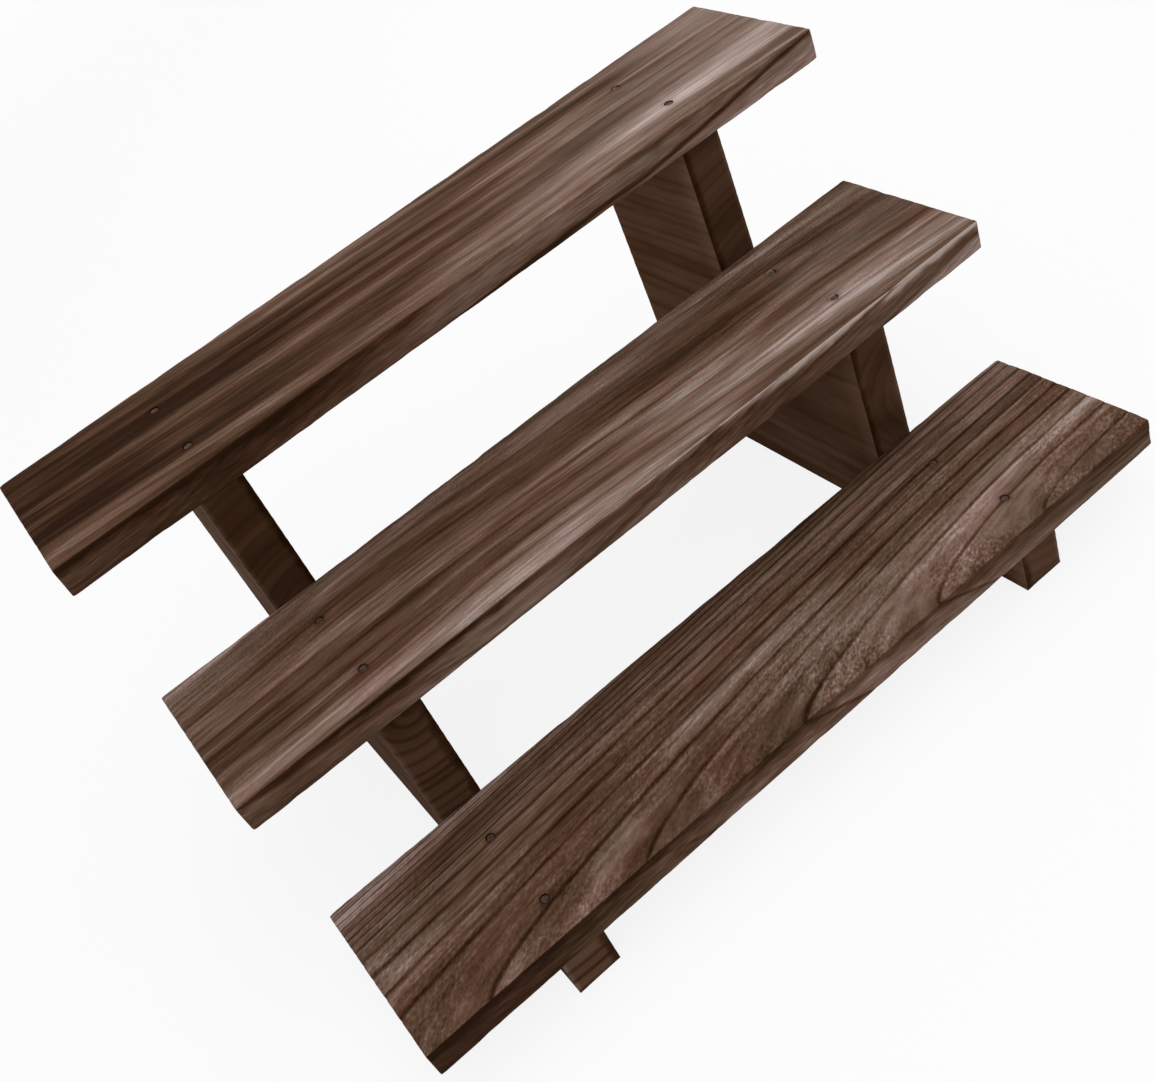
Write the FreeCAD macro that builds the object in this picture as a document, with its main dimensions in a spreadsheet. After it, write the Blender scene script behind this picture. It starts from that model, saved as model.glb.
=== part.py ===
import FreeCAD, Part
import Sketcher
import os

# Display rack: three flat wooden treads, nailed on the steps of two stair-cut side panels.
# Millimetres. +X runs along the treads, +Y to the back and +Z up. The origin is on the
# ground, under the middle of the rack.

STEPS = ("lower", "middle", "upper")
SIDES = {"left": "-1", "right": "1"}
NAILS_PER_SEAT = 2

# Driving dimensions, one named cell of the sheet each
DRIVING_SIZES = {
    # a tread: a plain board with eased arrises, standing out past the riser below it and,
    # at its ends, past the side panels
    "tread_length": 400,
    "tread_depth": 84,
    "tread_thickness": 15,
    "tread_overhang": 4,
    "tread_end_overhang": 59.5,
    "tread_arris_radius": 1.2,
    # a side panel: one thick board with the steps cut out of it
    "step_rise": 81,
    "foot_height": 26,
    "panel_thickness": 21,
    "panel_arris_radius": 0.8,
    # left between the back of a tread and the riser behind it, so that the boards go in
    "butt_gap": 0.2,
    # a finish nail with a tapered head, punched below the face: two through each tread
    # into each panel
    "nail_inset": 19,
    "nail_pitch": 41,
    "nail_head_diameter": 3.4,
    "nail_head_taper": 1.6,
    "nail_shank_diameter": 1.8,
    "nail_grip": 16,
    "nail_point": 3,
    "nail_sink": 0.4,
    "nail_clearance": 0.05,
    "nail_tip_room": 0.5,
}

# What follows from the driving dimensions
STEP_RUN = "(sizes.tread_depth - sizes.tread_overhang + sizes.butt_gap)"
PANEL_DEPTH = f"({len(STEPS)} * {STEP_RUN} - sizes.butt_gap)"
PANEL_CENTRES = (
    "(sizes.tread_length - 2 * sizes.tread_end_overhang - sizes.panel_thickness)"
)
RACK_FRONT = f"(-({PANEL_DEPTH} + sizes.tread_overhang) / 2)"
NAIL_LENGTH = "(sizes.tread_thickness - sizes.nail_sink + sizes.nail_grip)"
NAIL_HOLE = "(sizes.nail_shank_diameter + 2 * sizes.nail_clearance)"
HEAD_STEP = "((sizes.nail_head_diameter - sizes.nail_shank_diameter) / 2)"
HEAD_SLOPE = f"({HEAD_STEP} / sizes.nail_head_taper)"
HEAD_HOLE = "(sizes.nail_head_diameter + 2 * sizes.nail_clearance)"
HOLE_MOUTH = f"({HEAD_HOLE} + 2 * sizes.nail_sink * {HEAD_SLOPE})"

doc = FreeCAD.newDocument("display_rack")
sheet = doc.addObject("Spreadsheet::Sheet", "sizes")
for row, (alias, number) in enumerate(DRIVING_SIZES.items(), start=1):
    sheet.set(f"A{row}", alias)
    sheet.set(f"B{row}", str(number))
    sheet.setAlias(f"B{row}", alias)
doc.recompute()


def value(expression):
    """The number that an expression on the sheet has now."""
    return float(sheet.evalExpression(expression))


def bind(item, expressions):
    """Ties each named property of a document object to an expression on the sheet."""
    for path, expression in expressions.items():
        item.setExpression(path, expression)


def seat_height(step):
    """The height of a step's seat, where its tread lies."""
    return f"(sizes.foot_height + {step} * sizes.step_rise)"


def datum(body, role):
    """A plane or axis of the body's own origin, as a link."""
    return (next(f for f in body.Origin.OriginFeatures if f.Role == role), [""])


def new_body(name, x="0", y="0", z="0"):
    """An empty body whose place is tied to the sheet."""
    body = doc.addObject("PartDesign::Body", name)
    body.Label = name
    bind(body, {"Placement.Base.x": x, "Placement.Base.y": y, "Placement.Base.z": z})
    return body


def new_sketch(body, name, plane, x="0", y="0", z="0"):
    """A sketch on one of the body's origin planes, shifted in that plane's own axes."""
    sketch = body.newObject("Sketcher::SketchObject", name)
    sketch.AttachmentSupport = [datum(body, plane)]
    sketch.MapMode = "FlatFace"
    offset = {"x": x, "y": y, "z": z}
    bind(sketch, {f"AttachmentOffset.Base.{axis}": offset[axis] for axis in offset})
    return sketch


def dimension(sketch, name, expression, kind, *where):
    """Adds a named dimension to a sketch, tied to the sheet."""
    drawn = Sketcher.Constraint(kind, *where, value(expression))
    sketch.renameConstraint(sketch.addConstraint(drawn), name)
    sketch.setExpression(f"Constraints.{name}", expression)


def draw_outline(sketch, points):
    """A closed run of lines through the points, the level and upright ones held so."""
    corners = [FreeCAD.Vector(x, y, 0) for x, y in points]
    for line, start in enumerate(corners):
        end = corners[(line + 1) % len(corners)]
        sketch.addGeometry(Part.LineSegment(start, end))
        if start.y == end.y:
            sketch.addConstraint(Sketcher.Constraint("Horizontal", line))
        elif start.x == end.x:
            sketch.addConstraint(Sketcher.Constraint("Vertical", line))
    for line in range(len(corners)):
        following = (line + 1) % len(corners)
        sketch.addConstraint(Sketcher.Constraint("Coincident", line, 2, following, 1))


def draw_nail_hole(sketch):
    """One circle round the sketch's origin, as wide as the hole for a nail's shank."""
    centre = FreeCAD.Vector(0, 0, 0)
    upward = FreeCAD.Vector(0, 0, 1)
    sketch.addGeometry(Part.Circle(centre, upward, value(NAIL_HOLE) / 2))
    sketch.addConstraint(Sketcher.Constraint("Coincident", 0, 3, -1, 1))
    dimension(sketch, "hole", NAIL_HOLE, "Diameter", 0)


def edge_names(board, upright):
    """The names of a sawn board's upright edges, or of all its level ones."""
    names = []
    for number, edge in enumerate(board.Shape.Edges, start=1):
        rises = abs(edge.tangentAt(edge.FirstParameter).z) > 0.5
        if rises == upright:
            names.append(f"Edge{number}")
    return names


def nail_grid(body, original):
    """Repeats a nail, or the hole for one, over a tread: a pair on each panel."""
    grid = body.newObject("PartDesign::LinearPattern", f"{original.Name}_grid")
    grid.Originals = [original]
    grid.Direction = datum(body, "X_Axis")
    grid.Occurrences = len(SIDES)
    grid.Direction2 = datum(body, "Y_Axis")
    grid.Occurrences2 = NAILS_PER_SEAT
    bind(grid, {"Length": PANEL_CENTRES, "Length2": "sizes.nail_pitch"})
    body.Tip = grid


def make_panel(side, sign):
    """A side panel: the stair cut out of a thick board, with pilot holes in its seats."""
    body = new_body(
        f"{side}_side_panel",
        x=f"{sign} * {PANEL_CENTRES} / 2",
        y=f"{RACK_FRONT} + sizes.tread_overhang",
    )
    outline = new_sketch(body, f"{side}_panel_outline", "YZ_Plane")
    run = value(STEP_RUN)
    depth = value(PANEL_DEPTH)
    corners = [(0, 0), (depth, 0)]
    back = depth
    for step in reversed(range(len(STEPS))):
        seat = value(seat_height(step))
        corners += [(back, seat), (step * run, seat)]
        back = step * run
    draw_outline(outline, corners)
    outline.addConstraint(Sketcher.Constraint("Coincident", 0, 1, -1, 1))
    dimension(outline, "depth", PANEL_DEPTH, "Distance", 0)
    foot_line = len(corners) - 1
    dimension(outline, "foot", "sizes.foot_height", "Distance", foot_line)
    for step in range(1, len(STEPS)):
        seat_line = foot_line + 1 - 2 * step
        dimension(outline, f"run_{step}", STEP_RUN, "Distance", seat_line)
        dimension(outline, f"rise_{step}", "sizes.step_rise", "Distance", seat_line - 1)
    board = body.newObject("PartDesign::Pad", f"{side}_panel_board")
    board.Profile = outline
    board.SideType = "Symmetric"
    bind(board, {"Length": "sizes.panel_thickness"})
    doc.recompute()

    eased = body.newObject("PartDesign::Fillet", f"{side}_panel_arrises")
    eased.Base = (board, edge_names(board, upright=True))
    bind(eased, {"Radius": "sizes.panel_arris_radius"})

    for step, name in enumerate(STEPS):
        centre = new_sketch(
            body,
            f"{side}_{name}_pilot_centre",
            "XY_Plane",
            y=f"{step} * {STEP_RUN} + sizes.nail_inset - sizes.tread_overhang",
            z=seat_height(step),
        )
        draw_nail_hole(centre)
        pilot = body.newObject("PartDesign::Pocket", f"{side}_{name}_pilot")
        pilot.Profile = centre
        bind(pilot, {"Length": "sizes.nail_grip + sizes.nail_tip_room"})
        pair = body.newObject("PartDesign::LinearPattern", f"{side}_{name}_pilots")
        pair.Originals = [pilot]
        pair.Direction = datum(body, "Y_Axis")
        pair.Occurrences = NAILS_PER_SEAT
        bind(pair, {"Length": "sizes.nail_pitch"})
        body.Tip = pair
        doc.recompute()
    return body


def make_tread(step, name):
    """A tread: a board with its two faces' arrises eased, countersunk for its nails."""
    body = new_body(
        f"{name}_tread", y=f"{RACK_FRONT} + {step} * {STEP_RUN}", z=seat_height(step)
    )
    outline = new_sketch(body, f"{name}_tread_outline", "XY_Plane")
    end = value("sizes.tread_length") / 2
    back = value("sizes.tread_depth")
    draw_outline(outline, [(-end, 0), (end, 0), (end, back), (-end, back)])
    outline.addConstraint(Sketcher.Constraint("Symmetric", 0, 1, 0, 2, -1, 1))
    dimension(outline, "length", "sizes.tread_length", "Distance", 0)
    dimension(outline, "depth", "sizes.tread_depth", "Distance", 1)
    board = body.newObject("PartDesign::Pad", f"{name}_tread_board")
    board.Profile = outline
    bind(board, {"Length": "sizes.tread_thickness"})
    doc.recompute()

    eased = body.newObject("PartDesign::Fillet", f"{name}_tread_arrises")
    eased.Base = (board, edge_names(board, upright=False))
    bind(eased, {"Radius": "sizes.tread_arris_radius"})

    centre = new_sketch(
        body,
        f"{name}_tread_nail_centre",
        "XY_Plane",
        x=f"-{PANEL_CENTRES} / 2",
        y="sizes.nail_inset",
        z="sizes.tread_thickness",
    )
    draw_nail_hole(centre)
    doc.recompute()

    hole = body.newObject("PartDesign::Hole", f"{name}_tread_nail_hole")
    hole.Profile = centre
    hole.Threaded = False
    hole.DepthType = "ThroughAll"
    hole.HoleCutType = "Countersink"
    hole.HoleCutCustomValues = True
    bind(
        hole,
        {
            "Diameter": NAIL_HOLE,
            "HoleCutDiameter": HOLE_MOUTH,
            "HoleCutCountersinkAngle": f"2 * atan({HEAD_SLOPE})",
        },
    )
    doc.recompute()
    nail_grid(body, hole)
    return body


def make_nails(step, name):
    """The finish nails of one tread: a turned head, shank and point, repeated on a grid."""
    body = new_body(
        f"{name}_tread_nails",
        y=f"{RACK_FRONT} + {step} * {STEP_RUN} + sizes.nail_inset",
        z=f"{seat_height(step)} + sizes.tread_thickness - sizes.nail_sink",
    )
    body.AllowCompound = True
    profile = new_sketch(
        body, f"{name}_nail_profile", "XZ_Plane", x=f"-{PANEL_CENTRES} / 2"
    )
    head = value("sizes.nail_head_diameter") / 2
    shank = value("sizes.nail_shank_diameter") / 2
    neck = -value("sizes.nail_head_taper")
    tip = -value(NAIL_LENGTH)
    shoulder = tip + value("sizes.nail_point")
    draw_outline(
        profile, [(0, 0), (head, 0), (shank, neck), (shank, shoulder), (0, tip)]
    )
    profile.addConstraint(Sketcher.Constraint("Coincident", 0, 1, -1, 1))
    dimension(profile, "head", "sizes.nail_head_diameter / 2", "Distance", 0)
    dimension(profile, "head_step", HEAD_STEP, "DistanceX", 1, 2, 1, 1)
    dimension(profile, "head_taper", "sizes.nail_head_taper", "DistanceY", 1, 2, 1, 1)
    dimension(profile, "point", "sizes.nail_point", "DistanceY", 3, 2, 3, 1)
    dimension(profile, "nail_length", NAIL_LENGTH, "Distance", 4)
    nail = body.newObject("PartDesign::Revolution", f"{name}_nail")
    nail.Profile = profile
    nail.ReferenceAxis = (profile, ["V_Axis"])
    doc.recompute()
    nail_grid(body, nail)
    return body


pieces = []
for side, sign in SIDES.items():
    pieces.append(make_panel(side, sign))
for step, name in enumerate(STEPS):
    pieces.append(make_tread(step, name))
    pieces.append(make_nails(step, name))
doc.recompute()

for item in doc.Objects:
    if "Invalid" in item.State or "Error" in item.State:
        raise RuntimeError(f"{item.Label} did not compute: {item.State}")
for piece in pieces:
    if piece.Shape.isNull() or not piece.Shape.isValid():
        raise RuntimeError(f"{piece.Label} has no valid shape")

os.makedirs("parts", exist_ok=True)
for piece in pieces:
    piece.Shape.exportStep(f"parts/{piece.Label}.step")
    box = piece.Shape.BoundBox
    print(
        f"{piece.Label}: {len(piece.Shape.Solids)} solid(s), {piece.Shape.Volume:.1f} mm3, "
        f"x {box.XMin:.2f} to {box.XMax:.2f}, y {box.YMin:.2f} to {box.YMax:.2f}, "
        f"z {box.ZMin:.2f} to {box.ZMax:.2f}"
    )
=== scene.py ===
import math
import random

import bpy
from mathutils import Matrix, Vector


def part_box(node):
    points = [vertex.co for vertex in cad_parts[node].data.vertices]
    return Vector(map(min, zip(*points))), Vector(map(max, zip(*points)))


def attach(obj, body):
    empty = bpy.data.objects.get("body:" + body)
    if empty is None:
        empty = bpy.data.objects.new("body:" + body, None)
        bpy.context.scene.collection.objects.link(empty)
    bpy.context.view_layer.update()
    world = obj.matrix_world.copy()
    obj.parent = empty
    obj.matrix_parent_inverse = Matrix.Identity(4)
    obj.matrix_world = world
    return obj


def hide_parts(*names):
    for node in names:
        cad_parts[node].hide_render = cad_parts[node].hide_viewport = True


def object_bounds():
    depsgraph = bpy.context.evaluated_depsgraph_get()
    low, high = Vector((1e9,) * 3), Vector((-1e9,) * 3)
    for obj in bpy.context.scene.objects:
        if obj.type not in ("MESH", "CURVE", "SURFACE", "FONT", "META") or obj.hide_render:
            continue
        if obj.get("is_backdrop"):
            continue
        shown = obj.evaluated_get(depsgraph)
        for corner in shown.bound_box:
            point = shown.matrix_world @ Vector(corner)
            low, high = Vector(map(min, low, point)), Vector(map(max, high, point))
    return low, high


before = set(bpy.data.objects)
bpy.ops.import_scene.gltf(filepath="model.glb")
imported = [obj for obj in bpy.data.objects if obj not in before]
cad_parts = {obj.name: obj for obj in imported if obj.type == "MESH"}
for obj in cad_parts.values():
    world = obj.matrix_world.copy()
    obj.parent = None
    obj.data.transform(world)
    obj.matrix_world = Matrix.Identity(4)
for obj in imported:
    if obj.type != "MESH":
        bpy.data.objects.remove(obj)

cad_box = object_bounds()


# Side panels
# Each side panel is one scorched softwood board with its grain from front to back, sawn to a stair outline.
# It stands on its lower edge, takes a tread on each of its three seats and shows end grain on the risers.

class Wire:
    """An output socket of a node tree. Arithmetic on wires adds Math nodes to that tree."""

    def __init__(self, tree, socket=None):
        self.tree = tree
        self.socket = socket

    def node(self, kind, settings=None, inputs=None, output=0):
        """Adds a node of this kind: its settings first, then the values or wires of its sockets."""
        node = self.tree.nodes.new(kind)
        for name, value in (settings or {}).items():
            if name == "stops":
                for stop, (position, colour) in zip(spread_stops(node.color_ramp, len(value)), value):
                    stop.position = position
                    stop.color = (*colour, 1)
            else:
                setattr(node, name, value)
        for key, value in (inputs or {}).items():
            for one in value if isinstance(value, list) else [value]:
                if isinstance(one, Wire):
                    self.tree.links.new(one.socket, node.inputs[key])
                else:
                    node.inputs[key].default_value = one
        return Wire(self.tree, node.outputs[output])

    def math(self, operation, *others):
        return self.node("ShaderNodeMath", {"operation": operation}, dict(enumerate([self, *others])))

    def __add__(self, other):
        return self.math("ADD", other)

    __radd__ = __add__

    def __sub__(self, other):
        return self.math("SUBTRACT", other)

    def __rsub__(self, other):
        return self.math("MULTIPLY_ADD", -1, other)

    def __mul__(self, other):
        return self.math("MULTIPLY", other)

    __rmul__ = __mul__

    def __truediv__(self, other):
        return self.math("DIVIDE", other)

    def __abs__(self):
        return self.math("ABSOLUTE")

    def axes(self):
        """The three numbers of a vector or of a colour."""
        split = self.node("ShaderNodeSeparateXYZ", inputs={0: self}).socket.node
        return [Wire(self.tree, socket) for socket in split.outputs]

    def vector(self, *values):
        return self.node("ShaderNodeCombineXYZ", inputs=dict(enumerate(values)))

    def vector_math(self, operation, other):
        return self.node("ShaderNodeVectorMath", {"operation": operation}, {0: self, 1: other})

    def scaled(self, factor):
        return self.node("ShaderNodeVectorMath", {"operation": "SCALE"}, {0: self, "Scale": factor})

    def noise(self, scale, detail, output="Fac"):
        return self.node("ShaderNodeTexNoise", inputs={"Vector": self, "Scale": scale, "Detail": detail},
                         output=output)

    def white(self):
        """A number from 0 to 1 drawn by lot for each value."""
        return self.node("ShaderNodeTexWhiteNoise", {"noise_dimensions": "1D"}, {"W": self})

    def ramp(self, start, end):
        """Rises evenly from 0 at start to 1 at end."""
        return self.node("ShaderNodeMapRange", inputs={"Value": self, "From Min": start, "From Max": end})

    def ease(self, start, end):
        """Rises smoothly from 0 at start to 1 at end, or falls where end is the lower of the two."""
        return self.node("ShaderNodeMapRange", {"interpolation_type": "SMOOTHSTEP"},
                         {"Value": self, "From Min": start, "From Max": end})


def spread_stops(ramp, count):
    """The stops of a colour ramp, once it has this many of them."""
    while len(ramp.elements) < count:
        ramp.elements.new(1)
    return ramp.elements


POOR_YEAR = 0.6
GOOD_YEAR = 1.4


def ring_lines(first, last, pitch, seed):
    """Radii of a log's ring lines, unevenly apart as poor and good years left them."""
    years = random.Random(seed)
    radii = [first]
    while radii[-1] < last:
        radii.append(radii[-1] + pitch * years.uniform(POOR_YEAR, GOOD_YEAR))
    return radii


SWAY_ALONG = 5
SWAY_ACROSS = 9
LEVELLING = 0.06
LEAST_SPREAD = 0.0015


def growth_rings(place, facing, log):
    """Where a point of a board lay in its log: metres along the grain and out from the pith, the rings
    counted up to there, the metres over the face to the nearest ring line, and how squarely the rings meet
    that face.

    A log's pith is given across the board and up from its face, with its lean in both ways for each metre
    along the grain. The lean upwards ends at "level", and 1 m lies past the end of any board. "bow" curves
    the lean across, "squeeze" flattens the rings and "wander" lets them stray."""
    x, y, z = place.axes()
    turn_x, turn_y, turn_z = facing.axes()
    along, across, turn_along, turn_across = x, y, turn_x, turn_y
    if log["grain"] == "y":
        along, across, turn_along, turn_across = y, x, turn_y, turn_x
    straying = place.vector(along * SWAY_ALONG, across * SWAY_ACROSS, z * SWAY_ACROSS + log["seed"])
    sway, lift, _ = straying.noise(1, 1, "Color").axes()
    pith_out, pith_up = log["pith"]
    lean_out, lean_up = log["lean"]
    out = across - pith_out - (lean_out + along * log["bow"]) * along + (sway - 0.5) * log["wander"]
    climb = along.math("SMOOTH_MIN", log["level"], LEVELLING)
    climbing = along.ease(log["level"] + LEVELLING, log["level"] - LEVELLING)
    up = (z - log["face"]) * log["squeeze"] - pith_up - climb * lean_up + (lift - 0.5) * log["wander"]
    radius = (out * out + up * up).math("SQRT")
    rings = log["rings"]
    count = radius.ramp(rings[0], rings[1])
    for inner, outer in zip(rings[1:], rings[2:]):
        count = count + radius.ramp(inner, outer)
    side = out / radius
    rise = up / radius * log["squeeze"]
    drift = (out * (lean_out + along * (2 * log["bow"])) + up * climbing * lean_up) / radius
    cut = side * turn_across + rise * turn_z - drift * turn_along
    spread = side * side + rise * rise + drift * drift - cut * cut
    spread = spread.math("MAXIMUM", LEAST_SPREAD).math("SQRT")
    pitch = (rings[-1] - rings[0]) / (len(rings) - 1)
    line = abs((count + 0.5).math("FRACT") - 0.5) * pitch / spread
    return along, radius, count, line, spread


GROOVE_BED = 0.1
WAVES_ALONG = 9
WAVES_OUT = 200
HOLLOWS = 38


def wood_relief(place, facing, log):
    """Height of the brushed face over the flat board, in metres: grooves at the ring lines, long waves
    between them and shallow hollows."""
    along, radius, _, line, _ = growth_rings(place, facing, log)
    groove = line.ease(log["line"], log["line"] * GROOVE_BED) * log["groove"]
    waves = place.vector(along * WAVES_ALONG, radius * WAVES_OUT, log["seed"]).noise(1, 2) - 0.5
    hollows = place.noise(HOLLOWS, 2) - 0.5
    return waves * log["waves"] + hollows * log["hollows"] - groove


# From charred to pale, the pale end reached by rubbed wear and by painted sheen, and the tints that run
# over it from reddish to greenish.
SCORCH_COLOURS = [
    (0.00, (0.0194, 0.0074, 0.0026)),
    (0.25, (0.0480, 0.0222, 0.0108)),
    (0.50, (0.1070, 0.0585, 0.0375)),
    (0.75, (0.2130, 0.1420, 0.1140)),
    (1.00, (0.4200, 0.3400, 0.3200)),
]
SCORCH_TINTS = [(0.38, (1.0, 0.90, 0.88)), (0.62, (0.95, 1.0, 0.95))]
# Painted warm shade: panel sides are tinted redder, as warm bounce light tints their shade.
PAINTED_WARM_SHADE_GREEN = 0.10
PAINTED_WARM_SHADE_BLUE = 0.24

# Noise drawn out along the grain: how fine along it, out from the pith and upwards, its shift and detail.
GRAIN_NOISE = {
    "broad": (3, 60, 20, 0, 2),
    "streak": (6, 190, 70, 0, 2),
    "fine": (22, 700, 260, 0, 2),
    "fibre": (70, 1600, 800, 0, 1),
    "mottle": (22, 50, 50, 0, 3),
    "hue": (14, 260, 90, 20, 3),
}
END_TURN = (0.5, 0.9)
END_CALM = 0.7
FRAYING = 0.6

# Flecks lie aslant the grain, in patches, and show most where the rings lie flat in the face.
FLECKS = (460, 820, 600)
FLECK_SLANT = 0.6
FLECK_PATCHES = 24
FLECK_SHARE = (0.20, 0.70)
FLECK_FLATNESS = 1.1

# Ring lines differ in strength from year to year, fade here and there, and are hidden by charring.
LINE_VARIES = 0.3
LINE_FADES = 0.4
FADES_ALONG = 16
FADES_APART = 5.3
FADE_SHARE = (0.25, 0.55)
LINE_CORE = 0.15
LINE_FLAT = 0.8
LINE_SQUARE = 0.6
CHAR_HIDES = 2.5
STILL_SHOWN = 0.15

BUMP_STRENGTH = 0.6
BUMP_HEIGHT = 0.0004
BUMP_SHARE = 0.5
WOOD_ROUGHNESS = 0.72
WORN_POLISH = 0.3
FIBRE_ROUGHNESS = 0.15
SATIN_ROUGHNESS = 0.42


def scorched_wood(name, log, look, burning, wearing_and_sheen):
    """Scorched and brushed softwood. The look says how strongly each kind of grain shows, and the two
    functions say how burnt and how rubbed each point is, the second with painted sheen, painted highlight and
    painted light in it."""
    material = bpy.data.materials.new(name)
    material.use_nodes = True
    shader = material.node_tree.nodes["Principled BSDF"]
    start = Wire(material.node_tree)
    place = start.node("ShaderNodeTexCoord", output="Object")
    facing = start.node("ShaderNodeNewGeometry", output="Normal")
    along, radius, count, line, spread = growth_rings(place, facing, log)
    x, y, z = place.axes()
    turns = [abs(turn) for turn in facing.axes()]
    seed = log["seed"]

    def grain(kind):
        """Noise of this kind, as much below nought as above it."""
        fine_along, fine_out, fine_up, shift, detail = GRAIN_NOISE[kind]
        spot = place.vector(along * fine_along, radius * fine_out, z * fine_up + (seed + shift))
        return spot.noise(1, detail) - 0.5

    end_grain = turns["xyz".index(log["grain"])].ease(*END_TURN)
    calm = 1 - end_grain * END_CALM
    streak = grain("streak") * calm
    fine = grain("fine") * calm
    fibre = grain("fibre") * calm

    aslant = ((x + y * FLECK_SLANT) * FLECKS[0], (y - x * FLECK_SLANT) * FLECKS[1], z * FLECKS[2])
    patches = place.noise(FLECK_PATCHES, 1).ease(*FLECK_SHARE)
    fleck = (place.vector(*aslant).noise(1, 1) - 0.5) * patches * turns[2] * (FLECK_FLATNESS - spread)

    nearest = (count + 0.5).math("FLOOR")
    strength = (nearest + seed * 3).white() * LINE_VARIES + (1 - LINE_VARIES)
    fading = place.vector(along * FADES_ALONG, nearest * FADES_APART, seed).noise(1, 1).ease(*FADE_SHARE)
    strength = strength * (fading * LINE_FADES + (1 - LINE_FADES))
    depth = look["mark"] + (1 - turns[2]) * look["side_mark"] + end_grain * look["end_mark"]
    burnt = burning(place, facing)
    shown = (1 - burnt * CHAR_HIDES).math("MAXIMUM", STILL_SHOWN)
    from_line = line * (LINE_FLAT + spread * LINE_SQUARE)
    mark = from_line.ease(log["line"], log["line"] * LINE_CORE) * strength * depth * shown

    # This mask paints sheen and light into the colour, on top of real wear.
    wear_and_sheen = wearing_and_sheen(place, facing, streak + fine * FRAYING)
    parts = {"year": (count + seed).math("FLOOR").white() - 0.5, "late": count.math("FRACT") - 0.5,
             "broad": grain("broad"), "streak": streak, "fine": fine, "fibre": fibre, "fleck": fleck,
             "mottle": grain("mottle")}
    tone = look["tone"] + wear_and_sheen
    for part, wire in parts.items():
        tone = tone + wire * look[part]
    colour = start.node("ShaderNodeValToRGB", {"stops": SCORCH_COLOURS}, {"Fac": tone - mark - burnt})
    hue = grain("hue") * look["hue"] + 0.5
    tint = start.node("ShaderNodeValToRGB", {"stops": SCORCH_TINTS}, {"Fac": hue})
    # Painted warm shade on the sides of a panel.
    painted_warm_shade = turns[0] * look["painted_warm_shade"]
    tint = tint.vector_math("MULTIPLY", start.vector(1, 1 - painted_warm_shade * PAINTED_WARM_SHADE_GREEN, 1 - painted_warm_shade * PAINTED_WARM_SHADE_BLUE))
    height = fine * BUMP_SHARE + fibre * BUMP_SHARE + fleck * BUMP_SHARE - mark
    ways = {
        "Base Color": colour.vector_math("MULTIPLY", tint),
        "Roughness": WOOD_ROUGHNESS - wear_and_sheen * WORN_POLISH + fibre * FIBRE_ROUGHNESS,
        "Coat Weight": wear_and_sheen.math("MAXIMUM", 0) * look["satin"],
        "Normal": start.node("ShaderNodeBump", inputs={"Strength": BUMP_STRENGTH, "Distance": BUMP_HEIGHT,
                                                       "Height": height}),
    }
    for key, wire in ways.items():
        material.node_tree.links.new(wire.socket, shader.inputs[key])
    shader.inputs["Specular IOR Level"].default_value = look["shine"]
    shader.inputs["Coat Roughness"].default_value = SATIN_ROUGHNESS
    return material


def new_tree(name, sizes):
    """A geometry node tree with a named input for each size, and the wires that bring them in."""
    tree = bpy.data.node_groups.new(name, "GeometryNodeTree")
    for label, kind in sizes.items():
        tree.interface.new_socket(label, in_out="INPUT", socket_type=kind)
    tree.interface.new_socket("Geometry", in_out="OUTPUT", socket_type="NodeSocketGeometry")
    given = tree.nodes.new("NodeGroupInput")
    return {label: Wire(tree, given.outputs[label]) for label in sizes}


def close_tree(shape, material):
    """Ends a tree: plain mesh, smooth shading and the piece's material."""
    plain = shape.node("GeometryNodeRealizeInstances", inputs={"Geometry": shape})
    smooth = plain.node("GeometryNodeSetShadeSmooth", inputs={"Geometry": plain})
    done = smooth.node("GeometryNodeSetMaterial", inputs={"Geometry": smooth, "Material": material})
    end = shape.tree.nodes.new("NodeGroupOutput")
    shape.tree.links.new(done.socket, end.inputs["Geometry"])


CREASE_ANGLE = math.radians(38)
ARRIS_ANGLE = math.radians(50)
ARRIS_SEGMENTS = 2


def make_piece(name, tree, sizes, arris=None):
    """Runs a tree with these sizes, eases the arrises where asked and keeps the result as a plain mesh."""
    piece = bpy.data.objects.new(name, bpy.data.meshes.new(name))
    bpy.context.scene.collection.objects.link(piece)
    modifier = piece.modifiers.new("shape", "NODES")
    modifier.node_group = tree
    for item in tree.interface.items_tree:
        if item.in_out == "INPUT":
            modifier[item.identifier] = sizes[item.name]
    if arris:
        easing = piece.modifiers.new("arris", "BEVEL")
        easing.width = arris
        easing.segments = ARRIS_SEGMENTS
        easing.limit_method = "ANGLE"
        easing.angle_limit = ARRIS_ANGLE
    evaluated = piece.evaluated_get(bpy.context.evaluated_depsgraph_get())
    mesh = bpy.data.meshes.new_from_object(evaluated)
    piece.modifiers.clear()
    piece.data = mesh
    mesh.name = name
    mesh.set_sharp_from_angle(angle=CREASE_ANGLE)
    return piece


# The nails that hold the treads also leave their holes in the boards, so their sizes are given here.
TREADS = ("lower_tread", "middle_tread", "upper_tread")
NAIL = {"Head Radius": 0.0017, "Shank Radius": 0.0009, "Tip Radius": 0.0001, "Rim": 0.0002, "Taper": 0.0016,
        "Point": 0.0030, "Rise": 0.0}
HOLE = {**NAIL, "Head Radius": 0.0022, "Shank Radius": 0.0010, "Rise": 0.0020}
NAIL_RINGS = 5
NAIL_SIDES = 24


def nail_places(tread):
    """The four nails of a tread: their middle, how far apart they are, and the heights of tips and heads."""
    low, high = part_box(tread + "_nails")
    middle = (low + high) / 2
    width = high.x - low.x - 2 * NAIL["Head Radius"]
    depth = high.y - low.y - 2 * NAIL["Head Radius"]
    return middle, width, depth, low.z, high.z


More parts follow.
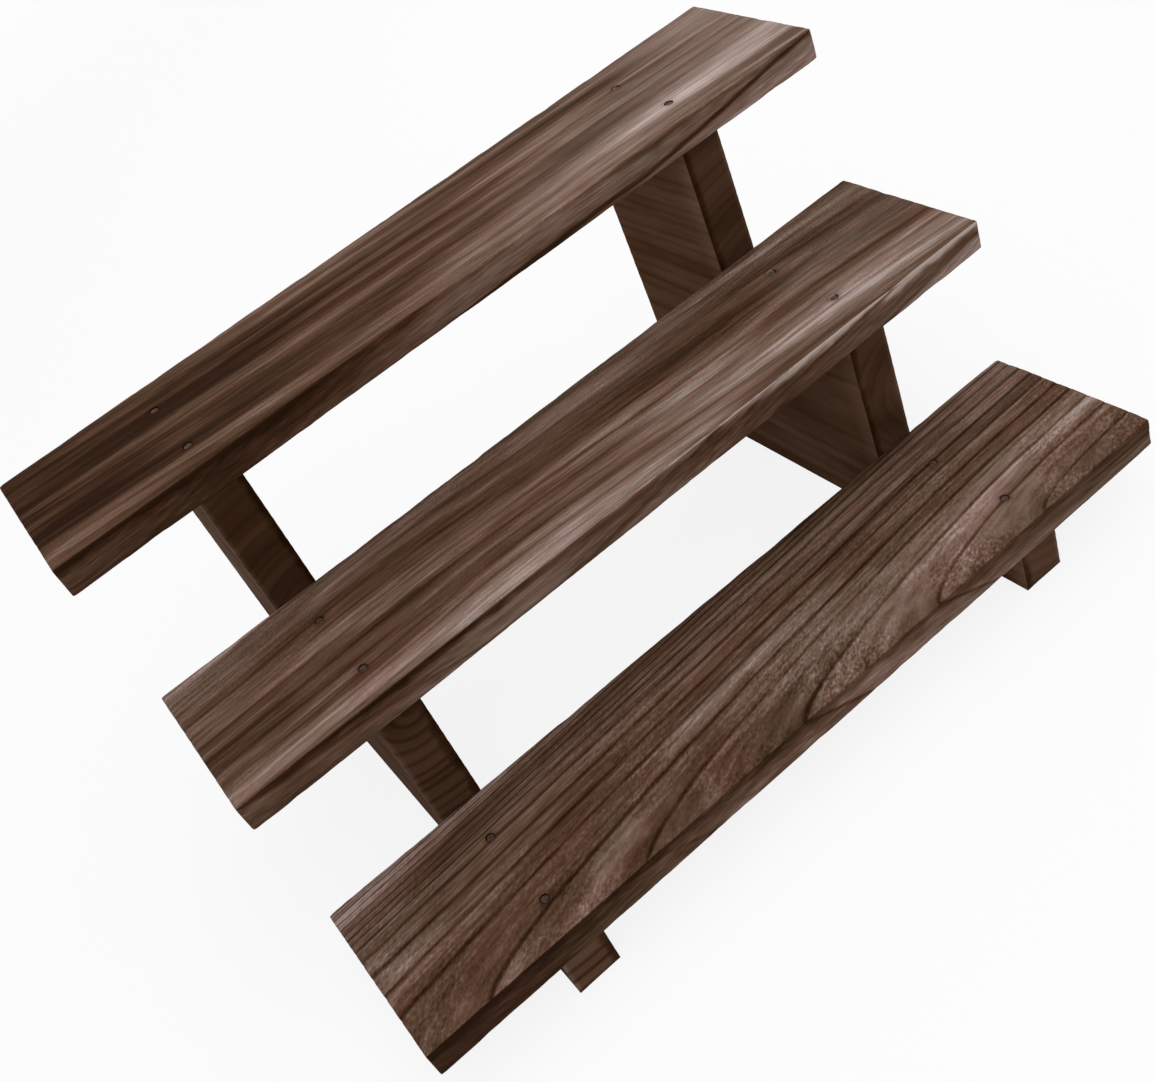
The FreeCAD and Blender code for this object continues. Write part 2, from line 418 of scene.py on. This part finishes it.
def driven_nails(start, tread, nail):
    """The four nails of a tread as one mesh in the tree, or with a hole's sizes the shapes that they cut."""
    middle, width, depth, tip, top = nail_places(tread)
    index = start.node("GeometryNodeInputIndex")
    passed = [index.math("GREATER_THAN", ring + 0.5) for ring in range(NAIL_RINGS - 1)]
    below_rim, below_head, below_shank, at_tip = passed
    shank = top - tip - nail["Rim"] - nail["Taper"] - nail["Point"]
    fall = (below_rim * (nail["Rim"] + nail["Rise"]) + below_head * nail["Taper"] + below_shank * shank
            + at_tip * nail["Point"])
    radius = (nail["Head Radius"] - below_head * (nail["Head Radius"] - nail["Shank Radius"])
              - at_tip * (nail["Shank Radius"] - nail["Tip Radius"]))
    rod = start.node("GeometryNodeMeshLine", inputs={"Count": NAIL_RINGS})
    rod = start.node("GeometryNodeSetPosition",
                     inputs={"Geometry": rod, "Position": start.vector(0, 0, nail["Rise"] - fall)})
    rod = start.node("GeometryNodeMeshToCurve", inputs={"Mesh": rod})
    ring = start.node("GeometryNodeCurvePrimitiveCircle", inputs={"Resolution": NAIL_SIDES, "Radius": 1.0})
    one = start.node("GeometryNodeCurveToMesh",
                     inputs={"Curve": rod, "Profile Curve": ring, "Scale": radius, "Fill Caps": True})
    spots = start.node("GeometryNodeMeshGrid",
                       inputs={"Size X": width, "Size Y": depth, "Vertices X": 2, "Vertices Y": 2})
    spots = start.node("GeometryNodeSetPosition",
                       inputs={"Geometry": spots, "Offset": (middle.x, middle.y, top)})
    group = start.node("GeometryNodeInstanceOnPoints", inputs={"Points": spots, "Instance": one})
    return start.node("GeometryNodeRealizeInstances", inputs={"Geometry": group})


def finish_board(board, log, treads, material):
    """Raises the brushed grain on a board, cuts the nail holes of these treads and ends the board's tree."""
    facing = board.node("GeometryNodeInputNormal")
    lift = wood_relief(board.node("GeometryNodeInputPosition"), facing, log)
    board = board.node("GeometryNodeSetPosition", inputs={"Geometry": board, "Offset": facing.scaled(lift)})
    holes = [driven_nails(board, tread, HOLE) for tread in treads]
    holes = board.node("GeometryNodeJoinGeometry", inputs={"Geometry": holes})
    board = board.node("GeometryNodeMeshBoolean", {"operation": "DIFFERENCE", "solver": "MANIFOLD"},
                       {"Mesh 1": board, "Mesh 2": holes})
    close_tree(board, material)


PANEL_CELLS = 72
PANEL_LAYERS = 18
PANEL_ARRIS = 0.0008
PANEL_WELD = 0.00002

PANEL_LOG = {"grain": "y", "face": 0.0, "squeeze": 1.0, "level": 1.0, "bow": 0.0, "line": 0.0026,
             "groove": 0.00008, "waves": 0.00012, "hollows": 0.0002}
PANEL_LOGS = {
    "left_side_panel": {**PANEL_LOG, "pith": (-0.124, 0.104), "lean": (0.015, 0.03), "wander": 0.010,
                        "rings": ring_lines(0.004, 0.13, 0.0066, 3), "seed": 3.0},
    "right_side_panel": {**PANEL_LOG, "pith": (0.152, 0.062), "lean": (0.02, -0.04), "wander": 0.012,
                         "rings": ring_lines(0.004, 0.16, 0.0062, 8), "seed": 8.0},
}
# The panels' tone is set paler than the treads', partly as painted light that makes up for the shade
# their sides stand in. How much darker the risers are is given at the foot, with what is added above
# the foot and near the top.
PANEL_LOOK = {"tone": 0.55, "year": 0.04, "late": 0.03, "broad": 0.25, "streak": 0.05, "fine": 0.05,
              "fibre": 0.08, "fleck": 0.0, "mottle": 0.30, "mark": 0.07, "side_mark": 0.0, "hue": 0.4,
              "satin": 0.0, "shine": 0.0}
PANEL_LOOKS = {
    "left_side_panel": {**PANEL_LOOK, "end_mark": 0.22, "painted_warm_shade": 0.0, "riser_darkening": (0.06, 0.12, 0.12)},
    "right_side_panel": {**PANEL_LOOK, "end_mark": 0.02, "painted_warm_shade": 1.0, "riser_darkening": (0.15, 0.07, 0.0)},
}
RISER_TURN = (0.4, 0.9)
ABOVE_FOOT = (0.01, 0.05)
NEAR_TOP = (0.09, 0.13)
CHAR_EDGE = (0.00442, 0.00068)
CHAR_NOISE = 90
CHAR_RAGGED = 0.006
CHAR_DEPTH = 0.26
SIDE_TURN = (0.5, 0.9)
BESIDE_RISER = (0.0120, 0.001)
BESIDE_WORN = 0.08
HIGH_UP = (0.09, 0.15)
HIGH_WORN = 0.07
OUTER_ARRIS = (0.0022, 0.0004)
ARRIS_WEAR_AND_HIGHLIGHT = 0.14

step_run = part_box("middle_tread")[0].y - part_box("lower_tread")[0].y
step_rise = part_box("middle_tread")[0].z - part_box("lower_tread")[0].z
first_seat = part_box("lower_tread")[0].z


def panel_marks(panel):
    """Two functions that say how dark and how pale each point of a panel is: burnt, darker towards the top,
    rubbed, and palest on the outer arris, partly as a painted highlight.
    """
    low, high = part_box(panel)
    inner, outer = (high.x, low.x) if panel == "left_side_panel" else (low.x, high.x)
    at_foot, above_foot, near_top = PANEL_LOOKS[panel]["riser_darkening"]

    def burning(place, facing):
        """The flame darkened the end grain of the risers, most along their inner arris, and they are darker
        towards the top.
        """
        x, _, z = place.axes()
        burnt = at_foot + z.ease(*ABOVE_FOOT) * above_foot + z.ease(*NEAR_TOP) * near_top
        ragged = abs(x - inner) + (place.noise(CHAR_NOISE, 2) - 0.5) * CHAR_RAGGED
        charred = ragged.ease(*CHAR_EDGE) * CHAR_DEPTH
        return abs(facing.axes()[1]).ease(*RISER_TURN) * (burnt + charred)

    def wearing_and_sheen(place, facing, _):
        """Handling has rubbed the sides paler beside the risers and higher up; the outer arris is palest,
        partly from rubbing and partly as a painted highlight.
        """
        x, y, z = place.axes()
        step = ((z - first_seat) / step_rise).math("FLOOR") + 1
        from_riser = y - low.y - step_run * step
        # The pale outer arris is partly rubbed wear and partly a painted highlight.
        arris = from_riser.ease(*OUTER_ARRIS) * abs(x - outer).ease(*OUTER_ARRIS)
        rubbed = from_riser.ease(*BESIDE_RISER) * BESIDE_WORN + z.ease(*HIGH_UP) * HIGH_WORN
        return abs(facing.axes()[0]).ease(*SIDE_TURN) * rubbed + arris * ARRIS_WEAR_AND_HIGHLIGHT

    return burning, wearing_and_sheen


def stair_tree(name, log, material):
    """A stair-cut board: a fine grid in its outline's plane, cleared above the seats, built up in layers."""
    size = new_tree(name, {"Low Corner": "NodeSocketVector", "High Corner": "NodeSocketVector",
                           "Run": "NodeSocketFloat", "Rise": "NodeSocketFloat",
                           "First Seat": "NodeSocketFloat", "Rows": "NodeSocketInt"})
    start = size["Run"]
    low_x, low_y, low_z = size["Low Corner"].axes()
    high_x, high_y, high_z = size["High Corner"].axes()
    reach = size["Run"] * len(TREADS)
    height = size["Rise"] * size["Rows"] / PANEL_CELLS
    face = start.node("GeometryNodeMeshGrid",
                      inputs={"Size X": reach, "Size Y": height,
                              "Vertices X": PANEL_CELLS * len(TREADS) + 1, "Vertices Y": size["Rows"] + 1})
    grid_x, grid_y, _ = start.node("GeometryNodeInputPosition").axes()
    y = (low_y + reach / 2 + grid_x).math("MINIMUM", high_y)
    z = (high_z - height / 2 + grid_y).math("MAXIMUM", low_z)
    face = start.node("GeometryNodeSetPosition",
                      inputs={"Geometry": face, "Position": start.vector(low_x, y, z)})
    _, cell_y, cell_z = start.node("GeometryNodeInputPosition").axes()
    seat = size["First Seat"] + size["Rise"] * ((cell_y - low_y) / size["Run"]).math("FLOOR")
    face = start.node("GeometryNodeDeleteGeometry", {"domain": "FACE"},
                      {"Geometry": face, "Selection": cell_z.math("GREATER_THAN", seat)})
    entry = start.tree.nodes.new("GeometryNodeRepeatInput")
    leave = start.tree.nodes.new("GeometryNodeRepeatOutput")
    entry.pair_with_output(leave)
    leave.repeat_items.new("BOOLEAN", "Top")
    entry.inputs["Iterations"].default_value = PANEL_LAYERS
    entry.inputs["Top"].default_value = True
    start.tree.links.new(face.socket, entry.inputs["Geometry"])
    layer = start.node("GeometryNodeExtrudeMesh", {"mode": "FACES"},
                       {"Mesh": Wire(start.tree, entry.outputs["Geometry"]),
                        "Selection": Wire(start.tree, entry.outputs["Top"]),
                        "Offset": start.vector((high_x - low_x) / PANEL_LAYERS, 0, 0),
                        "Individual": False})
    start.tree.links.new(layer.socket, leave.inputs["Geometry"])
    start.tree.links.new(layer.socket.node.outputs["Top"], leave.inputs["Top"])
    back = start.node("GeometryNodeFlipFaces", inputs={"Mesh": face})
    board = start.node("GeometryNodeJoinGeometry",
                       inputs={"Geometry": [Wire(start.tree, leave.outputs["Geometry"]), back]})
    board = start.node("GeometryNodeMergeByDistance", inputs={"Geometry": board, "Distance": PANEL_WELD})
    finish_board(board, log, TREADS, material)
    return start.tree


for panel, log in PANEL_LOGS.items():
    low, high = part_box(panel)
    wood = scorched_wood(panel + "_wood", log, PANEL_LOOKS[panel], *panel_marks(panel))
    tree = stair_tree(panel + "_shape", log, wood)
    board = make_piece(panel + "_board", tree,
                       {"Low Corner": list(low), "High Corner": list(high), "Run": step_run,
                        "Rise": step_rise, "First Seat": first_seat,
                        "Rows": math.ceil((high.z - low.z) / step_rise * PANEL_CELLS)}, PANEL_ARRIS)
    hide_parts(panel)
    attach(board, "root")


# Treads
# Three equal planed boards of the same scorched wood, grain along the rack, with softly worn arrises.
# Each lies on the seats of both panels, held by two nails at either end that are set below its face.

TREAD_CELLS = {"Cells Along": 200, "Cells Across": 140, "Cells Deep": 25}
TREAD_ARRIS = 0.0010
LEAST_ROUND = 0.9
WEAR_NOISE = 60
WEAR_SHARE = (0.45, 0.75)
WEAR_ROUND = 0.8
CHIP_NOISE = 140
CHIP_SHARE = (0.58, 0.70)
CHIP_ROUND = 0.3

lower_low, lower_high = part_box("lower_tread")
middle_low, middle_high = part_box("middle_tread")
upper_low, upper_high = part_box("upper_tread")

# The lower tread's ring lines lie as they do in the photograph, and those of the other logs are drawn by lot.
LOWER_RINGS = [0.0605, 0.0635, 0.0664, 0.0702, 0.0749, 0.0791, 0.0842, 0.0885, 0.0936, 0.0986,
               0.1024, 0.1046, 0.1068, 0.1090, 0.1112, 0.1134, 0.1156, 0.1178, 0.1200, 0.1222]
TREAD_LOG = {"grain": "x", "hollows": 0.0003}
TREAD_LOGS = {
    "lower_tread": {**TREAD_LOG, "face": lower_high.z, "squeeze": 0.123,
                    "pith": (lower_low.y - 0.0026, 0.070), "lean": (0.0085, -0.0534), "level": 0.137,
                    "bow": 0.03, "wander": 0.0010, "rings": LOWER_RINGS, "seed": 1.0, "line": 0.0011,
                    "groove": 0.00016, "waves": 0.00014},
    "middle_tread": {**TREAD_LOG, "face": middle_high.z, "squeeze": 1.0,
                     "pith": (middle_low.y + 0.15, -0.08), "lean": (-0.040, 0.0), "level": 1.0,
                     "bow": -0.16, "wander": 0.016, "rings": ring_lines(0.07, 0.21, 0.0068, 2), "seed": 2.0,
                     "line": 0.0022, "groove": 0.00008, "waves": 0.00020},
    "upper_tread": {**TREAD_LOG, "face": upper_high.z, "squeeze": 0.5,
                    "pith": (upper_low.y - 0.10, 0.06), "lean": (-0.05, -0.02), "level": 1.0,
                    "bow": 0.05, "wander": 0.010, "rings": ring_lines(0.09, 0.23, 0.0065, 5), "seed": 5.0,
                    "line": 0.0016, "groove": 0.00005, "waves": 0.00020},
}
# A tread's top carries a painted sheen that grows paler by its slant for each metre to the right.
# Its front is given by its burn, how much paler that turns towards the right, the burn of its rim,
# and how much of that is gone at the right.
TREAD_LOOK = {"mottle": 0.15, "hue": 1.0, "painted_warm_shade": 0.0, "shine": 0.03}
TREAD_LOOKS = {
    "lower_tread": {**TREAD_LOOK, "tone": 0.50, "slant": 0.15, "front": (0.37, 0.36, 0.22, 0.05),
                    "year": 0.08, "late": 0.10, "broad": 1.0, "streak": 0.65, "fine": 0.5, "fibre": 0.5,
                    "fleck": 0.95, "mark": 0.35, "side_mark": -0.1, "end_mark": -0.1, "satin": 0.5},
    "middle_tread": {**TREAD_LOOK, "tone": 0.48, "slant": 0.10, "front": (-0.03, 0.02, 0.40, 0.92),
                     "year": 0.08, "late": 0.06, "broad": 1.15, "streak": 0.98, "fine": 0.35, "fibre": 0.45,
                     "fleck": 0.7, "mark": 0.16, "side_mark": 0.0, "end_mark": 0.1, "satin": 0.6},
    "upper_tread": {**TREAD_LOOK, "tone": 0.43, "slant": 0.75, "front": (0.24, 0.35, 0.25, 0.10),
                    "year": 0.06, "late": 0.04, "broad": 1.3, "streak": 0.8, "fine": 0.3, "fibre": 0.45,
                    "fleck": 0.7, "mark": 0.11, "side_mark": 0.3, "end_mark": -0.2, "satin": 0.6},
}
# Paler and darker patches of each top, the pale ones partly rubbed wear and partly painted sheen and
# painted light: from and to along the tread, then distance from the front edge, slant, half width
# and how much paler.
TREAD_PATCHES = {
    "lower_tread": [(-0.005, 0.140, 0.014, 0.05, 0.014, 0.17), (0.145, 0.230, 0.021, 0.05, 0.006, 0.16),
                    (-0.230, -0.170, 0.050, 0.0, 0.050, 0.12), (-0.100, -0.010, 0.012, 0.0, 0.014, -0.08),
                    (-0.060, 0.040, 0.040, 0.09, 0.005, 0.14), (-0.230, -0.110, 0.018, 0.0, 0.012, -0.14),
                    (0.130, 0.170, 0.070, 0.0, 0.007, -0.12), (0.170, 0.230, 0.072, 0.0, 0.014, 0.05),
                    (-0.230, 0.230, 0.072, 0.0, 0.016, 0.09), (0.050, 0.230, 0.042, 0.0, 0.014, -0.12)],
    "middle_tread": [(-0.230, 0.060, 0.006, 0.0, 0.006, 0.26), (0.055, 0.170, 0.014, 0.0, 0.011, 0.22),
                     (0.020, 0.090, 0.025, 0.09, 0.005, 0.24), (0.110, 0.165, 0.032, 0.09, 0.004, 0.16),
                     (-0.150, -0.065, 0.028, 0.0, 0.003, 0.16), (-0.230, -0.130, 0.050, 0.0, 0.010, 0.12),
                     (-0.160, -0.080, 0.040, 0.0, 0.006, -0.14), (0.120, 0.230, 0.045, 0.0, 0.012, 0.16),
                     (-0.060, 0.060, 0.014, 0.0, 0.008, 0.14), (0.170, 0.230, 0.012, 0.0, 0.012, 0.08),
                     (-0.010, 0.140, 0.068, 0.0, 0.014, 0.08), (-0.110, 0.060, 0.002, 0.0, 0.004, 0.24),
                     (-0.100, 0.060, 0.046, 0.0, 0.012, -0.08)],
    "upper_tread": [(-0.010, 0.230, 0.016, 0.03, 0.010, 0.21), (0.110, 0.230, 0.020, 0.0, 0.005, 0.16),
                    (0.120, 0.230, 0.005, 0.0, 0.005, -0.08), (0.150, 0.230, 0.072, 0.0, 0.006, 0.26),
                    (-0.230, -0.150, 0.008, 0.0, 0.008, 0.14), (-0.150, -0.120, 0.029, 0.0, 0.004, 0.24),
                    (-0.085, 0.060, 0.037, 0.0, 0.004, 0.14), (-0.230, -0.060, 0.054, 0.0, 0.014, -0.16),
                    (-0.190, -0.155, 0.030, 0.0, 0.007, -0.14), (0.0, 0.160, 0.066, 0.0, 0.012, -0.10),
                    (-0.050, 0.040, 0.045, 0.0, 0.020, -0.08), (0.110, 0.230, 0.042, 0.0, 0.012, 0.06)],
}
PATCH_FADE = 0.030
PATCH_FRAY = 0.012
PATCH_EDGE = 1.6
TOP_TURN = (0.2, 0.8)
FRONT_TURN = (-0.3, -0.8)
FRONT_PALING = (-0.16, 0)
RIM_FADING = (-0.10, 0.08)
RIM_EDGE = (0.0055, 0.0010)
RIM_NOISE = 70
RIM_RAGGED = 0.006
EDGE_BURN = 0.08
EDGE_RIM = 0.12
STAIN_EDGE = (0.0046, 0.0020)
NAIL_STAIN = 0.10


def tread_marks(tread):
    """Two functions that say how burnt each point of a tread is, and how rubbed, with painted sheen and
    painted light.
    """
    low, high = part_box(tread)
    look = TREAD_LOOKS[tread]

    def burning(place, facing):
        """The flame caught the edges, their rims most, and the wood is stained round each nail."""
        x, y, z = place.axes()
        _, turn_y, turn_z = facing.axes()
        to_front = turn_y.ease(*FRONT_TURN)
        elsewhere = (1 - abs(turn_z) - to_front).math("MAXIMUM", 0)
        ragged = (place.noise(RIM_NOISE, 2) - 0.5) * RIM_RAGGED
        at_rim = (high.z - z + ragged).ease(*RIM_EDGE)
        burnt, paler, rim, fading = look["front"]
        front = burnt - x.ease(*FRONT_PALING) * paler + at_rim * (rim - x.ease(*RIM_FADING) * fading)
        plain = at_rim * EDGE_RIM + EDGE_BURN
        middle, width, depth, _, _ = nail_places(tread)
        from_nail_x = abs(abs(x - middle.x) - width / 2)
        from_nail_y = abs(abs(y - middle.y) - depth / 2)
        from_nail = (from_nail_x * from_nail_x + from_nail_y * from_nail_y).math("SQRT")
        return to_front * front + elsewhere * plain + from_nail.ease(*STAIN_EDGE) * NAIL_STAIN

    def wearing_and_sheen(place, facing, streak):
        """A painted sheen that grows to the right, and some long patches paler and others darker, all frayed
        along the grain; the pale ones are partly rubbed wear and partly painted sheen and painted light.
        """
        x, y, _ = place.axes()
        # Painted sheen: the top grows paler towards the right.
        wear_and_sheen = x * look["slant"]
        # Pale patches: partly rubbed wear, partly painted sheen and painted light; dark patches darken the
        # wood.
        for first, last, depth, slant, half, gain in TREAD_PATCHES[tread]:
            off = abs(y - low.y - depth - x * slant) + streak * PATCH_FRAY
            begun = x.ease(first - PATCH_FADE, first + PATCH_FADE)
            left = x.ease(last + PATCH_FADE, last - PATCH_FADE)
            wear_and_sheen = wear_and_sheen + off.ease(half * PATCH_EDGE, 0) * (begun * left) * gain
        return wear_and_sheen * facing.axes()[2].ease(*TOP_TURN)

    return burning, wearing_and_sheen


def tread_tree(name, tread, log, material):
    """A planed board: a fine box whose arrises are rolled over, more so where they are worn or chipped."""
    size = new_tree(name, {"Low Corner": "NodeSocketVector", "High Corner": "NodeSocketVector",
                           "Arris": "NodeSocketFloat", **{label: "NodeSocketInt" for label in TREAD_CELLS}})
    start = size["Arris"]
    low, high = size["Low Corner"], size["High Corner"]
    along, across, deep = [size[label] + 1 for label in TREAD_CELLS]
    board = start.node("GeometryNodeMeshCube",
                       inputs={"Size": high.vector_math("SUBTRACT", low), "Vertices X": along,
                               "Vertices Y": across, "Vertices Z": deep})
    centre = low.vector_math("ADD", high).scaled(0.5)
    board = start.node("GeometryNodeSetPosition", inputs={"Geometry": board, "Offset": centre})
    place = start.node("GeometryNodeInputPosition")
    wear = place.noise(WEAR_NOISE, 2).ease(*WEAR_SHARE)
    chips = place.noise(CHIP_NOISE, 2).ease(*CHIP_SHARE)
    radius = size["Arris"] * (LEAST_ROUND + wear * WEAR_ROUND + chips * CHIP_ROUND)
    inset = start.vector(radius, radius, radius)
    core = place.vector_math("MAXIMUM", low.vector_math("ADD", inset))
    core = core.vector_math("MINIMUM", high.vector_math("SUBTRACT", inset))
    outward = place.vector_math("SUBTRACT", core)
    outward = start.node("ShaderNodeVectorMath", {"operation": "NORMALIZE"}, {0: outward})
    rolled = core.vector_math("ADD", outward.scaled(radius))
    board = start.node("GeometryNodeSetPosition", inputs={"Geometry": board, "Position": rolled})
    finish_board(board, log, [tread], material)
    return start.tree


for tread, log in TREAD_LOGS.items():
    low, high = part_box(tread)
    wood = scorched_wood(tread + "_wood", log, TREAD_LOOKS[tread], *tread_marks(tread))
    tree = tread_tree(tread + "_shape", tread, log, wood)
    board = make_piece(tread + "_board", tree,
                       {"Low Corner": list(low), "High Corner": list(high), "Arris": TREAD_ARRIS,
                        **TREAD_CELLS})
    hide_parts(tread)
    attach(board, "root")


# Nails
# Finish nails of drawn steel, darkened by the scorching. Two at each end of a tread go down through it into
# the panel below, and a punch has set their heads a little under the face.

SOOT_NOISE = 900
SOOT_TINTS = [(0.30, (0.026, 0.014, 0.009)), (0.70, (0.105, 0.066, 0.050))]
DENT_STRENGTH = 0.5
DENT_HEIGHT = 0.0002
STEEL_ROUGHNESS = 0.62
SOOT_POLISH = 0.25
BARE_METAL = 0.10
STEEL_SHINE = 0.05

nail_steel = bpy.data.materials.new("darkened_nail_steel")
nail_steel.use_nodes = True
steel = nail_steel.node_tree.nodes["Principled BSDF"]
start = Wire(nail_steel.node_tree)
soot = start.node("ShaderNodeTexCoord", output="Object").noise(SOOT_NOISE, 3)
tint = start.node("ShaderNodeValToRGB", {"stops": SOOT_TINTS}, {"Fac": soot})
dents = start.node("ShaderNodeBump",
                   inputs={"Strength": DENT_STRENGTH, "Distance": DENT_HEIGHT, "Height": soot})
roughness = STEEL_ROUGHNESS - soot * SOOT_POLISH
for key, wire in {"Base Color": tint, "Roughness": roughness, "Normal": dents}.items():
    nail_steel.node_tree.links.new(wire.socket, steel.inputs[key])
steel.inputs["Metallic"].default_value = BARE_METAL
steel.inputs["Specular IOR Level"].default_value = STEEL_SHINE

for tread in TREADS:
    sizes = new_tree(tread + "_nails_shape", {label: "NodeSocketFloat" for label in NAIL})
    tree = sizes["Rim"].tree
    close_tree(driven_nails(sizes["Rim"], tread, sizes), nail_steel)
    driven = make_piece(tread + "_finish_nails", tree, NAIL)
    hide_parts(tread + "_nails")
    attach(driven, "root")


# Floor, light and camera
# A plain white studio floor, seen as white but still taking a soft shadow, with broad lamps above.
# The camera looks down from the front left and is rolled, so that the treads run uphill in the picture.

FLOOR_REACH = 6.0
FLOOR_WHITE = (0.86, 0.86, 0.86, 1)
FLOOR_ROUGHNESS = 0.9
FLOOR_GLOW = 0.86
FLOOR_FADE = (0.4, 2.5)

floor_mesh = bpy.data.meshes.new("floor")
floor_mesh.from_pydata([(-FLOOR_REACH, -FLOOR_REACH, 0), (FLOOR_REACH, -FLOOR_REACH, 0),
                        (FLOOR_REACH, FLOOR_REACH, 0), (-FLOOR_REACH, FLOOR_REACH, 0)], [], [(0, 1, 2, 3)])
floor = bpy.data.objects.new("floor", floor_mesh)
bpy.context.scene.collection.objects.link(floor)
floor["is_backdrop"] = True
floor_paint = bpy.data.materials.new("floor_paint")
floor_paint.use_nodes = True
floor_mesh.materials.append(floor_paint)
paper = floor_paint.node_tree.nodes["Principled BSDF"]
paper.inputs["Base Color"].default_value = FLOOR_WHITE
paper.inputs["Roughness"].default_value = FLOOR_ROUGHNESS
paper.inputs["Specular IOR Level"].default_value = 0.0
start = Wire(floor_paint.node_tree)
seen = start.node("ShaderNodeLightPath", output="Is Camera Ray")
place = start.node("ShaderNodeTexCoord", output="Object")
distance = start.node("ShaderNodeVectorMath", {"operation": "LENGTH"}, {0: place}, "Value")
share = FLOOR_GLOW + distance.ease(*FLOOR_FADE) * (1 - FLOOR_GLOW)
glow = start.node("ShaderNodeEmission", inputs={"Strength": 1.0})
lit = start.node("ShaderNodeMixShader",
                 inputs={0: seen * share, 1: Wire(start.tree, paper.outputs[0]), 2: glow})
start.tree.links.new(lit.socket, start.tree.nodes["Material Output"].inputs["Surface"])

AMBIENT = 0.50

world = bpy.data.worlds.new("studio")
bpy.context.scene.world = world
world.use_nodes = True
start = Wire(world.node_tree)
rays = [start.node("ShaderNodeLightPath", output=kind)
        for kind in ("Is Camera Ray", "Is Glossy Ray", "Is Transmission Ray")]
white = rays[0].math("MAXIMUM", rays[1]).math("MAXIMUM", rays[2])
strength = AMBIENT + white * (1 - AMBIENT)
start.tree.links.new(strength.socket, start.tree.nodes["Background"].inputs["Strength"])
start.tree.nodes["Background"].inputs["Color"].default_value = (1, 1, 1, 1)

LAMPS = {
    "overhead_softbox": {"place": (0.10, -0.05, 1.25), "size": (1.0, 1.0), "power": 6.0},
    "right_softbox": {"place": (0.75, 0.85, 0.62), "size": (0.7, 0.5), "power": 2.4},
    "front_softbox": {"place": (-0.30, -0.85, 1.10), "size": (0.9, 0.7), "power": 4.4},
}
RACK_MIDDLE = Vector((0, 0, 0.11))
for name, lamp in LAMPS.items():
    data = bpy.data.lights.new(name, "AREA")
    data.shape = "RECTANGLE"
    data.size, data.size_y = lamp["size"]
    data.energy = lamp["power"]
    light = bpy.data.objects.new(name, data)
    bpy.context.scene.collection.objects.link(light)
    light.location = lamp["place"]
    light.rotation_euler = (RACK_MIDDLE - light.location).to_track_quat("-Z", "Y").to_euler()

CAMERA_PLACE = (-0.16674, -0.43495, 0.47825)
CAMERA_TURN = (48.453, 20.724, -34.933)
CAMERA_LENS = 42.517
CAMERA_SHIFT = (0.0402, -0.0350)
SENSOR_WIDTH = 36.0

camera_data = bpy.data.cameras.new("camera")
camera_data.sensor_width = SENSOR_WIDTH
camera_data.lens = CAMERA_LENS
camera_data.shift_x, camera_data.shift_y = CAMERA_SHIFT
camera = bpy.data.objects.new("camera", camera_data)
bpy.context.scene.collection.objects.link(camera)
camera.location = CAMERA_PLACE
camera.rotation_euler = [math.radians(angle) for angle in CAMERA_TURN]
bpy.context.scene.camera = camera
bpy.context.scene.view_settings.view_transform = "Standard"

sizes = {"cad": cad_box, "visual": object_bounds()}
